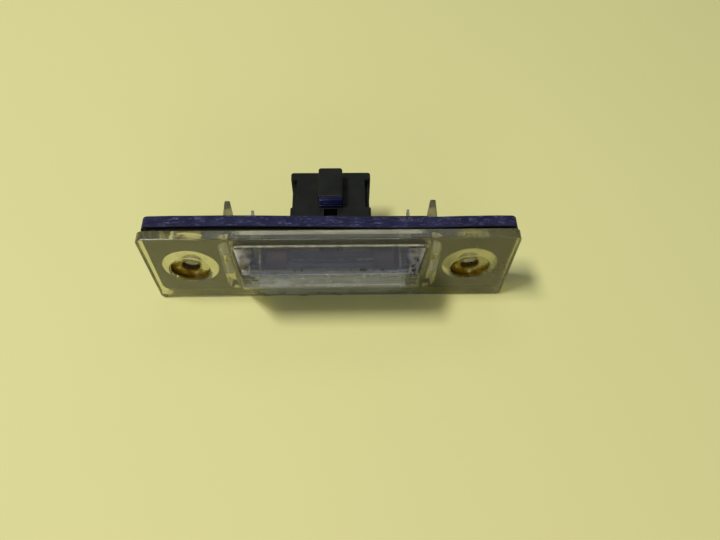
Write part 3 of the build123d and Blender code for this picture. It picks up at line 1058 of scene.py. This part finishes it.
@dataclass
class GasketSeal:
    """Rubber seal behind the flange: stepped, rounded at the back, and sitting a little askew and wavy."""

    screws: ScrewPoints
    flange_gap: float = 0.04 * MM
    step_depth: float = 1.05 * MM
    step_inset: float = 0.9 * MM
    corner: float = 1.5 * MM
    corner_steps: int = 6
    back_round: float = 0.3 * MM
    back_steps: int = 4
    opening_length: float = 57.4 * MM
    opening_height: float = 22.8 * MM
    opening_corner: float = 3.2 * MM
    boss_hole: float = 15.0 * MM
    boss_steps: int = 48
    cutter_middle: float = -2.0 * MM
    cutter_depth: float = 20.0 * MM
    pitch: float = 2.4 * MM
    rim_side: float = 1.5 * MM
    rim_height: float = 1.2 * MM
    tilt: float = 0.4
    shift: Vector = point(0.25, 0.0, 0.45)
    bends: tuple[RimBend, ...] = (
        RimBend(middle=-26.0 * MM, height=0.36 * MM, reach=26.0 * MM),
        RimBend(middle=17.0 * MM, height=-0.62 * MM, reach=24.0 * MM),
    )
    wave: float = 0.2 * MM
    wave_length: float = 6.0 * MM

    def outline(self) -> Piece:
        """Extrude the stepped band from a rounded sheet.

        Returns:
            The band without its openings.
        """
        low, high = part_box("gasket")
        front = low.y + self.flange_gap
        length = high.x - low.x
        height = high.z - low.z
        inner = (length - 2 * self.step_inset, height - 2 * self.step_inset)
        band = Bench.start(bpy.ops.mesh.primitive_plane_add, "gasket_seal", (*inner, 1.0), size=1.0,
                           location=(0.0, front, 0.0), rotation=FACING_Y)
        with Bench.editing(band):
            bpy.ops.mesh.bevel(offset=self.corner, segments=self.corner_steps, affect="VERTICES")
            bpy.ops.mesh.select_all(action="SELECT")
            Bench.extrude(0.0, self.step_depth, 0.0)
            Bench.extrude(0.0, 0.0, 0.0)
            bpy.ops.transform.resize(value=(length / inner[0], 1.0, height / inner[1]),
                                     center_override=(0.0, front + self.step_depth, 0.0))
            Bench.extrude(0.0, high.y - front - self.step_depth, 0.0)
            Bench.face_outwards()
            Bench.pick(band, lambda place: place.y > high.y - HAIR, "EDGE")
            bpy.ops.mesh.bevel(offset=self.back_round, segments=self.back_steps, affect="EDGES")
            steps = int(length / self.pitch)
            Bench.divide(ALONG_X, [low.x + index * length / steps for index in range(1, steps)])
        return band

    def opening(self) -> Piece:
        """Model a cutter for the skirt's opening, with rounded corners.

        Returns:
            The cutter.
        """
        size = (self.opening_length, self.cutter_depth, self.opening_height)
        cutter = Bench.start(bpy.ops.mesh.primitive_cube_add, "opening_cutter", size, size=1.0,
                             location=(0.0, self.cutter_middle, 0.0))
        with Bench.editing(cutter):
            Bench.pick_edges(cutter, ALONG_Y)
            bpy.ops.mesh.bevel(offset=self.opening_corner, segments=self.corner_steps, affect="EDGES")
        return cutter

    def boss_cutter(self, side: Side) -> Piece:
        """Model a cutter for one boss.

        Args:
            side: the end of the lamp that the boss is at.

        Returns:
            The cutter.
        """
        place = (self.screws.centre(side), self.cutter_middle, 0.0)
        return Bench.start(bpy.ops.mesh.primitive_cylinder_add, "boss_cutter", vertices=self.boss_steps,
                           radius=self.boss_hole / 2, depth=self.cutter_depth, location=place,
                           rotation=FACING_Y)

    def settle(self, band: Piece) -> None:
        """Turn, shift and wave the outer edge, and leave the openings where the lens fills them.

        Args:
            band: the cut band.
        """
        _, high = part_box("gasket")

        def on_rim(place: Vector) -> bool:
            """Return whether a place belongs to the outer edge."""
            return abs(place.x) > high.x - self.rim_side or abs(place.z) > high.z - self.rim_height

        with Bench.editing(band):
            Bench.pick(band, on_rim)
            bpy.ops.transform.rotate(value=-math.radians(self.tilt), orient_axis="Y",
                                     center_override=(0.0, 0.0, 0.0))
            bpy.ops.transform.translate(value=self.shift)
            Bench.pick(band, lambda place: on_rim(place) and place.z > 0.0)
            bpy.ops.mesh.hide(unselected=True)
            for bend in self.bends:
                Bench.pick(band, lambda place: abs(place.x - bend.middle) < self.pitch)
                bpy.ops.transform.translate(value=(0.0, 0.0, bend.height), use_proportional_edit=True,
                                            proportional_edit_falloff="SMOOTH", proportional_size=bend.reach)
            bpy.ops.mesh.reveal(select=False)
        group = band.vertex_groups.new(name="outer_edge")
        group.add([corner.index for corner in band.data.vertices if on_rim(corner.co)], 1.0, "REPLACE")
        clouds = bpy.data.textures.new("rubber_wave", "CLOUDS")
        clouds.noise_scale = self.wave_length
        Bench.modify(band, "DISPLACE", texture=clouds, texture_coords="LOCAL", direction="Z", mid_level=0.5,
                     strength=self.wave, vertex_group=group.name)

    def build(self) -> Piece:
        """Model the seal.

        Returns:
            The finished piece.
        """
        band = self.outline()
        Bench.cut(band, self.opening())
        for side in Side:
            Bench.cut(band, self.boss_cutter(side))
        self.settle(band)
        return Bench.tidy(band, angle=40.0)


@dataclass
class FilamentCoil:
    """Tungsten coil between the two leads."""

    wire: float = 0.07 * MM
    wire_steps: int = 8
    turns: int = 30
    steps: int = 14

    def build(self) -> Piece:
        """Wind a ring of wire along the bulb's axis.

        Returns:
            The finished coil.
        """
        low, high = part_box("filament")
        radius = (high.z - low.z) / 2 - self.wire
        length = high.x - low.x - 2 * self.wire
        coil = Bench.start(bpy.ops.mesh.primitive_circle_add, "filament_coil", vertices=self.wire_steps,
                           radius=self.wire, location=(0.0, 0.0, radius), rotation=FACING_Y)
        Bench.modify(coil, "SCREW", axis="X", angle=math.tau, screw_offset=length / self.turns,
                     iterations=self.turns, steps=self.steps, render_steps=self.steps,
                     use_merge_vertices=False)
        with Bench.editing(coil):
            bpy.ops.mesh.fill_holes(sides=0)
            bpy.ops.transform.translate(value=(low.x + self.wire, (low.y + high.y) / 2, (low.z + high.z) / 2))
        return Bench.tidy(coil, angle=60.0)


@dataclass
class RustStain:
    """Rust left by a screw in one recess: a crust on the floor that climbs the wall and lines the hole."""

    screws: ScrewPoints
    side: Side
    steps: int = 64
    hole: float = 2.44 * MM
    hole_depth: float = 3.2 * MM
    hole_edge: float = 0.12 * MM
    hole_reach: float = 0.15 * MM
    outer: float = 5.12 * MM
    outer_edge: float = 0.1 * MM
    outer_reach: float = 0.2 * MM
    climb: float = 0.8 * MM
    climb_spare: float = 0.35 * MM
    top_share: float = 0.9
    ragged_share: float = 0.5
    lift: float = 0.05 * MM
    crust: float = 0.05 * MM
    unevenness: float = 0.09 * MM
    floor_seed: int = 3
    wall_seed: int = 7

    def build(self) -> Piece:
        """Model the crust from a disc.

        Returns:
            The finished crust.
        """
        centre = Vector((self.screws.centre(self.side), self.screws.recess_floor - self.lift, 0.0))
        stain = Bench.start(bpy.ops.mesh.primitive_circle_add, "rust_" + self.side.name.lower(),
                            vertices=self.steps, radius=self.outer, fill_type="NGON", location=centre,
                            rotation=FACING_Y)

        def reach(place: Vector) -> float:
            """Return the distance from the screw's axis."""
            return math.hypot(place.x - centre.x, place.z - centre.z)

        with Bench.editing(stain):
            bpy.ops.mesh.inset(thickness=self.outer - self.hole)
            bpy.ops.mesh.delete(type="FACE")
            bpy.ops.mesh.select_all(action="SELECT")
            bpy.ops.mesh.subdivide(number_cuts=2)
            Bench.pick(stain, lambda place: reach(place) > self.outer - self.outer_edge, "EDGE")
            Bench.extrude_edges(0.0, -self.climb, 0.0)
            bpy.ops.mesh.subdivide(number_cuts=1)
            Bench.face_outwards()
            Bench.pick(stain, lambda place: reach(place) < self.outer - self.outer_reach)
            seed = self.floor_seed + self.side.value
            bpy.ops.transform.vertex_random(offset=self.unevenness, uniform=0.3, seed=seed)
            Bench.pick(stain, lambda place: place.y < centre.y - self.climb * self.top_share)
            seed = self.wall_seed + self.side.value
            ragged = self.climb * self.ragged_share
            bpy.ops.transform.vertex_random(offset=ragged, uniform=0.2, seed=seed)
            Bench.pick(stain, lambda place: reach(place) < self.hole + self.hole_edge, "EDGE")
            Bench.extrude_edges(0.0, self.hole_depth, 0.0)
            Bench.face_outwards()
        self.hold_inside(stain, centre, reach)
        Bench.modify(stain, "SOLIDIFY", thickness=self.crust, offset=0.0)
        return Bench.tidy(stain, angle=60.0)

    def hold_inside(self, stain: Piece, centre: Vector, reach: Callable[[Vector], float]) -> None:
        """Keep the roughened crust clear of the recess wall, its floor and its mouth.

        Args:
            stain: the crust.
            centre: the middle of the crust's floor.
            reach: gives a place's distance from the screw's axis.
        """
        for corner in stain.data.vertices:
            place = corner.co
            distance = reach(place)
            kept = min(max(distance, self.hole), self.outer)
            place.x = centre.x + (place.x - centre.x) * kept / distance
            place.z = centre.z + (place.z - centre.z) * kept / distance
            lowest = centre.y + self.hole_depth if distance < self.hole + self.hole_reach else centre.y
            place.y = min(max(place.y, centre.y - self.climb - self.climb_spare), lowest)


@dataclass
class DirtTrail:
    """Crumbs of dirt that have gathered along one line of the bulge."""

    name: str
    start: Vector
    end: Vector
    spread: Vector
    count: int
    size: Range
    seed: int
    shape: tuple[float, float, float] = (1.0, 0.8, 0.16)
    unevenness: float = 0.35
    perch: float = 0.1
    half_width: float = 1.35
    half_height: float = 0.25
    small_share: float = 2.5

    def crumb(self) -> Piece:
        """Model one crumb of unit size, flattened and uneven.

        Returns:
            The crumb.
        """
        piece = Bench.start(bpy.ops.mesh.primitive_ico_sphere_add, "crumb", subdivisions=1, radius=1.0)
        with Bench.editing(piece):
            bpy.ops.transform.vertex_random(offset=self.unevenness, uniform=0.4, seed=self.seed)
            bpy.ops.transform.resize(value=self.shape, center_override=(0.0, 0.0, 0.0))
        return piece

    def build(self, wall: Piece) -> Piece:
        """Scatter crumbs along the line, each lying on the wall beside it and inside the CAD box.

        Args:
            wall: the piece whose wall carries the dirt.

        Returns:
            The joined crumbs.
        """
        draw = random.Random(self.seed)
        smallest, largest = self.size
        places = []
        for _ in range(self.count):
            middle = self.start.lerp(self.end, draw.random())
            middle = middle + Vector([draw.gauss(0.0, 1.0) * reach for reach in self.spread])
            found, seat, normal, _ = wall.closest_point_on_mesh(middle)
            if not found:
                continue
            size = smallest + (largest - smallest) * draw.random() ** self.small_share
            middle = seat + normal * size * self.perch
            ahead = size * math.hypot(self.half_height * normal.y, self.half_width * normal.x,
                                      self.half_width * normal.z)
            middle.y = max(middle.y, CAD_BOX[0].y + ahead)
            turn = normal.to_track_quat("Z", "Y").to_matrix().to_4x4()
            spin = Matrix.Rotation(draw.uniform(0.0, math.tau), 4, "Z")
            grow = Matrix.Diagonal((size, size * draw.uniform(0.5, 1.0), size, 1.0))
            places.append(Matrix.Translation(middle) @ turn @ spin @ grow)
        return Bench.copies(self.crumb(), places, self.name)


@dataclass
class HighlightBead:
    """Thin pale bead in the corner where the top of the bulge leaves the flange, a painted highlight line."""

    half_length: float = 23.6 * MM
    corner: Vector = point(0.0, -7.75, 11.1)
    radius: float = 0.28 * MM
    steps: int = 8
    cuts: int = 70
    unevenness: float = 0.10 * MM
    seed: int = 4

    def build(self) -> Piece:
        """Extrude the bead along the corner and roughen it.

        Returns:
            The finished bead.
        """
        start = self.corner - Vector((self.half_length, 0.0, 0.0))
        bead = Bench.start(bpy.ops.mesh.primitive_circle_add, "highlight_bead_line", vertices=self.steps,
                           radius=self.radius, fill_type="NGON", location=start, rotation=FACING_X)
        with Bench.editing(bead):
            Bench.extrude(2 * self.half_length, 0.0, 0.0)
            Bench.pick_edges(bead, ALONG_X)
            bpy.ops.mesh.subdivide(number_cuts=self.cuts)
            Bench.put_in_order(bead)
            bpy.ops.mesh.select_all(action="SELECT")
            bpy.ops.transform.vertex_random(offset=self.unevenness, uniform=0.4, seed=self.seed)
        return Bench.tidy(bead, angle=70.0)


@dataclass
class FaceFilm:
    """Film over part of one face of the lens, which lies in the skin of the lens: dust, and on some faces
    painted light.
    """

    name: str
    half_length: float
    top: float
    bottom: float
    columns: int
    rows: int
    face: Face = Face.FRONT
    taper: float = 1.0
    sink: float = 0.2 * MM
    clearance: float = 1.0 * MM

    def build(self, lens: Piece) -> Piece:
        """Wrap a sheet over the lens.

        Args:
            lens: the lens that carries the film.

        Returns:
            The finished film.
        """
        middle = (self.top + self.bottom) / 2
        height = self.top - self.bottom
        in_front = self.face is Face.FRONT
        place = (0.0, middle, CAD_BOX[1].z + self.clearance)
        inward = (0.0, 0.0, -self.sink)
        if in_front:
            place = (0.0, CAD_BOX[0].y - self.clearance, middle)
            inward = (0.0, self.sink, 0.0)
        film = Bench.start(bpy.ops.mesh.primitive_grid_add, self.name, (2 * self.half_length, height, 1.0),
                           size=1.0, x_subdivisions=self.columns, y_subdivisions=self.rows, location=place,
                           rotation=FACING_Y if in_front else FACING_Z)
        if self.taper != 1.0:
            with Bench.editing(film):
                Bench.pick(film, lambda corner: corner.y > self.top - HAIR)
                bpy.ops.transform.resize(value=(self.taper, 1.0, 1.0), center_override=place,
                                         use_proportional_edit=True, proportional_edit_falloff="LINEAR",
                                         proportional_size=height)
        Bench.modify(film, "SHRINKWRAP", target=lens, wrap_method="PROJECT", use_project_y=in_front,
                     use_project_z=not in_front, use_positive_direction=in_front,
                     use_negative_direction=not in_front)
        with Bench.editing(film):
            bpy.ops.transform.translate(value=inward)
        return Bench.tidy(film, angle=60.0)


@dataclass
class LatchFace:
    """Dark blue face plate on the front of the latch bridge, with fine ribs across it."""

    width: float = 6.1 * MM
    bottom: float = 5.85 * MM
    top: float = 9.9 * MM
    face: float = 8.6 * MM
    plate: float = 0.10 * MM
    rib: float = 0.24 * MM
    proud: float = 0.12 * MM
    round_share: float = 0.2
    ribs: int = 4

    def build(self) -> Piece:
        """Model the plate and raise its ribs.

        Returns:
            The finished plate.
        """
        height = self.top - self.bottom
        half_rib = self.rib / 2
        reach = half_rib + HAIR
        front = self.face - self.plate + HAIR
        levels = [self.bottom + index * height / (self.ribs + 1) for index in range(1, self.ribs + 1)]
        size = (self.width, self.plate * 2, height)
        plate = Bench.start(bpy.ops.mesh.primitive_cube_add, "latch_face", size, size=1.0,
                            location=(0.0, self.face, (self.bottom + self.top) / 2))
        with Bench.editing(plate):
            Bench.divide(ALONG_Z, [level + edge for level in levels for edge in (-half_rib, half_rib)])
            for level in levels:
                Bench.pick(plate, lambda place: place.y < front and abs(place.z - level) < reach, "FACE")
                Bench.extrude(0.0, -self.proud, 0.0)
        Bench.modify(plate, "BEVEL", width=self.rib * self.round_share, segments=2, limit_method="ANGLE")
        return Bench.tidy(plate, angle=35.0)


@dataclass(frozen=True)
class SoftLight:
    """One soft lamp that faces the middle: its place, its face's size, its power and its colour."""

    name: str
    place: tuple[float, float, float]
    size: Range
    power: float
    colour: Colour
    in_gloss: bool = True

    def hang(self) -> None:
        """Hang the lamp and turn it to the middle."""
        light = bpy.data.lights.new(self.name, "AREA")
        light.shape = "RECTANGLE"
        light.size, light.size_y = self.size
        light.energy = self.power
        light.color = self.colour
        lamp = bpy.data.objects.new(self.name, light)
        lamp.location = self.place
        lamp.rotation_euler = (-Vector(self.place)).to_track_quat("-Z", "Y").to_euler()
        lamp.visible_glossy = self.in_gloss
        bpy.context.collection.objects.link(lamp)


@dataclass
class Studio:
    """Pale floor, soft lights and a camera at the photograph's angle."""

    floor_colour: Colour = (0.74, 0.715, 0.315)
    floor_shade: float = 0.96
    floor_size: float = 6.0
    floor_roughness: float = 0.65
    floor_gloss: float = 0.2
    sky_colour: Colour = (0.92, 0.95, 1.0)
    sky_strength: float = 0.16
    lights: tuple[SoftLight, ...] = (
        SoftLight("key", (-0.36, -0.05, 0.93), size=(0.28, 0.14), power=7.6, colour=(1.0, 0.98, 0.95)),
        SoftLight("front", (0.05, -0.85, 0.30), size=(0.5, 0.25), power=1.3, colour=(0.86, 0.92, 1.0),
                  in_gloss=False),
        SoftLight("back", (0.0, 0.53, 0.85), size=(0.5, 0.3), power=0.5, colour=(0.80, 0.88, 1.0)),
    )
    camera_place: Vector = point(3.24, -95.6, 139.8)
    camera_turn: tuple[float, float, float] = (32.12, -1.02, -1.28)
    focal_length: float = 31.14
    sensor: float = 36.0
    nearest: float = 5.0 * MM

    def floor(self) -> None:
        """Lay the floor under the lamp's lowest point."""
        floor = Bench.start(bpy.ops.mesh.primitive_plane_add, "floor", size=self.floor_size,
                            location=(0.0, 0.0, CAD_BOX[0].z))
        material = bpy.data.materials.new("pale_floor")
        material.use_nodes = True
        graph = Graph(material.node_tree)
        darker = tuple(channel * self.floor_shade for channel in self.floor_colour)
        shade = graph.noise(graph.coordinates(), scale=9.0, detail=4.0)
        graph.fill(graph.tree.nodes["Principled BSDF"], Roughness=self.floor_roughness,
                   Specular_IOR_Level=self.floor_gloss,
                   Base_Color=graph.blend(shade, self.floor_colour, darker))
        dress(floor, material)

    def sky(self) -> None:
        """Fill the surroundings with even light."""
        world = bpy.data.worlds.new("soft_sky")
        world.use_nodes = True
        background = world.node_tree.nodes["Background"]
        background.inputs["Color"].default_value = (*self.sky_colour, 1.0)
        background.inputs["Strength"].default_value = self.sky_strength
        bpy.context.scene.world = world

    def camera(self) -> None:
        """Place the camera."""
        lens = bpy.data.cameras.new("camera")
        lens.lens = self.focal_length
        lens.sensor_width = self.sensor
        lens.clip_start = self.nearest
        camera = bpy.data.objects.new("camera", lens)
        camera.location = self.camera_place
        camera.rotation_euler = Euler([math.radians(angle) for angle in self.camera_turn], "XYZ")
        bpy.context.collection.objects.link(camera)
        bpy.context.scene.camera = camera

    def build(self) -> None:
        """Set up floor, sky, lights, camera and colour view."""
        self.floor()
        self.sky()
        for light in self.lights:
            light.hang()
        self.camera()
        bpy.context.scene.view_settings.view_transform = "Standard"


class Lamp:
    """The number plate lamp: CAD solids with their finishes, and the pieces that are modelled here."""

    def __init__(self) -> None:
        """Build the shared effects and read what the frame says."""
        self.effects = EffectLibrary()
        self.nodes = frame["nodes"]
        self.screws = ScrewPoints.from_record(frame["record"])
        nickel = Metal("lead_nickel", bright=(0.50, 0.48, 0.45), dull=(0.2, 0.18, 0.16),
                       roughness=(0.25, 0.5), patch_scale=600.0, tarnish=0.5)
        self.wire = nickel.material(self.effects)

    def finish_solids(self) -> None:
        """Give every CAD solid that stays in view its material."""
        clear = ClearPlastic("clear_plastic", passed=(0.39, 0.37, 0.19))
        glass = BulbGlass("bulb_glass_clear", passed=(0.93, 0.93, 0.92))
        black = Moulding("carrier_black", dark=(0.0050, 0.0060, 0.0038), light=(0.009, 0.010, 0.0065),
                         film=(0.018, 0.019, 0.015), rubbed=(0.03, 0.03, 0.035), roughness=(0.42, 0.62),
                         cover=0.16, gloss=0.2)
        tin = Metal("tinned_brass", bright=(0.45, 0.43, 0.37), dull=(0.18, 0.16, 0.10),
                    roughness=(0.30, 0.55), patch_scale=300.0, tarnish=0.8)
        brass = Metal("cap_brass", bright=(0.10, 0.062, 0.055), dull=(0.045, 0.026, 0.024),
                      roughness=(0.40, 0.6), patch_scale=420.0, tarnish=0.9)
        worn = [
            (clear.material(self.effects), ["lens"]),
            (glass.material(self.effects), ["bulb_glass"]),
            (black.material(self.effects), ["carrier"]),
            (tin.material(self.effects), ["contact_left", "contact_right"]),
            (brass.material(self.effects), ["bulb_cap_left", "bulb_cap_right"]),
            (self.wire, ["lead_left", "lead_right"]),
        ]
        for material, names in worn:
            for name in names:
                for holder in self.nodes[name].material_slots:
                    holder.material = material
                LOG.info("%s: finished in %s", name, material.name)

    def add_seal(self) -> None:
        """Model the gasket in place of its plain solid."""
        rubber = SealRubber("seal_rubber", dark=(0.010, 0.011, 0.036), light=(0.018, 0.019, 0.058),
                            film=(0.045, 0.045, 0.11), rubbed=(0.02, 0.02, 0.05), roughness=(0.50, 0.75),
                            cover=0.2, grain_scale=2600.0, grain_depth=0.06 * MM, mottle_scale=330.0,
                            gloss=0.15)
        mount(GasketSeal(self.screws).build(), rubber.material(self.effects), ["gasket"])

    def add_coil(self) -> None:
        """Wind the filament in place of its envelope."""
        mount(FilamentCoil().build(), self.wire, ["filament"])

    def add_rust(self) -> None:
        """Add the rust that the screws left in both recesses."""
        rust = Rust("rust_stain", self.screws.centre(Side.RIGHT), RustStain.outer, self.screws.recess_floor)
        material = rust.material(self.effects)
        for side in Side:
            mount(RustStain(self.screws, side).build(), material)

    def add_dirt(self) -> None:
        """Scatter dirt along the edges of the bulge, and lay at its root a pale bead that paints a highlight
        line.
        """
        trails = [
            DirtTrail("dirt_right_end", point(20.3, -15.6, 9.8), point(19.8, -15.6, 3.6),
                      spread=point(0.45, 0.1, 0.4), count=26, size=mm(0.16, 0.85), seed=11),
            DirtTrail("dirt_right_top", point(21.7, -11.0, 10.8), point(20.3, -14.6, 10.6),
                      spread=point(0.3, 0.3, 0.1), count=14, size=mm(0.14, 0.65), seed=31),
            DirtTrail("dirt_left_end", point(-19.2, -15.6, 9.2), point(-18.6, -15.6, 5.6),
                      spread=point(0.25, 0.1, 0.3), count=12, size=mm(0.16, 0.70), seed=5),
            DirtTrail("dirt_front_edge", point(-10.0, -14.3, 10.4), point(14.0, -14.3, 10.4),
                      spread=point(1.0, 0.14, 0.1), count=72, size=mm(0.08, 0.44), seed=23),
        ]
        grime = Grime("grime").material(self.effects)
        for trail in trails:
            mount(trail.build(self.nodes["lens"]), grime)
        # Painted highlight: this pale bead stands in for the light line along the bulge's root.
        bead_highlight = Moulding("highlight_bead_finish", dark=(0.20, 0.19, 0.13), light=(0.36, 0.35, 0.25),
                           film=(0.46, 0.44, 0.33), rubbed=(0.40, 0.38, 0.28), roughness=(0.7, 0.9),
                           cover=0.3, settling=0.1, grain_depth=0.05 * MM, mottle_scale=500.0)
        mount(HighlightBead().build(), bead_highlight.material(self.effects))

    def add_films(self) -> None:
        """Lay the films of dust in the skin of the lens, two with painted highlight lines and one with
        painted light on a slope.
        """
        # The bulge's film is dust on its face; its line at the lower front edge is a painted highlight, and
        # its reach down the lower slope paints light there.
        bulge = DustFilm("bulge_dust_and_light", mm(17.0, 25.0), (0.40, 0.8), highlight_height=4.7 * MM, crest_reach=0.7 * MM,
                         upper=mm(7.6, 9.2), lower=mm(-20.0, -10.0), soil_start=mm(18.3, 19.1))
        # The edge film is dust along the flange's bottom, with a painted highlight line along the edge.
        edge = DustFilm("edge_dust_and_highlight", mm(42.0, 50.0), (0.1, 0.4), highlight_height=-14.1 * MM, crest_reach=1.1 * MM,
                        upper=mm(-13.4, -12.8))
        end = DustFilm("end_dust", mm(21.0, 19.0), (0.40, 0.70), fray=0.8 * MM, lean=(1.4, 0.9),
                       pale=(0.80, 0.82, 0.98), dull=(0.54, 0.55, 0.62))
        ledge = DustFilm("ledge_dust", mm(21.5, 24.5), (0.5, 0.75), fray=0.8 * MM, lean=(1.1, 0.9),
                         pale=(0.56, 0.57, 0.68), dull=(0.40, 0.40, 0.46))
        films = [
            (FaceFilm("bulge_film", 23.0 * MM, top=9.3 * MM, bottom=-13.0 * MM, columns=80, rows=64), bulge),
            (FaceFilm("edge_film", 46.0 * MM, top=-12.8 * MM, bottom=-14.12 * MM, columns=120, rows=6), edge),
            (FaceFilm("end_film", 21.5 * MM, top=-8.3 * MM, bottom=-14.9 * MM, columns=90, rows=16,
                      face=Face.TOP, taper=1.116), end),
            (FaceFilm("ledge_film", 26.0 * MM, top=-5.1 * MM, bottom=-6.25 * MM, columns=90, rows=4,
                      face=Face.TOP), ledge),
        ]
        for film, finish in films:
            mount(film.build(self.nodes["lens"]), finish.material(self.effects))

    def add_latch(self) -> None:
        """Add the ribbed face of the latch bridge."""
        navy = Moulding("latch_navy", dark=(0.010, 0.013, 0.085), light=(0.016, 0.020, 0.12),
                        film=(0.04, 0.04, 0.16), rubbed=(0.08, 0.09, 0.30), roughness=(0.30, 0.50), cover=0.2)
        mount(LatchFace().build(), navy.material(self.effects))

    def build(self) -> None:
        """Finish the solids and add every modelled piece."""
        self.finish_solids()
        self.add_seal()
        self.add_coil()
        self.add_rust()
        self.add_dirt()
        self.add_films()
        self.add_latch()


def main() -> None:
    """Build the lamp and the studio round it."""
    logging.basicConfig(level=logging.INFO, format="%(name)s %(message)s")
    Lamp().build()
    Studio().build()


if __name__ == "__main__":
    main()
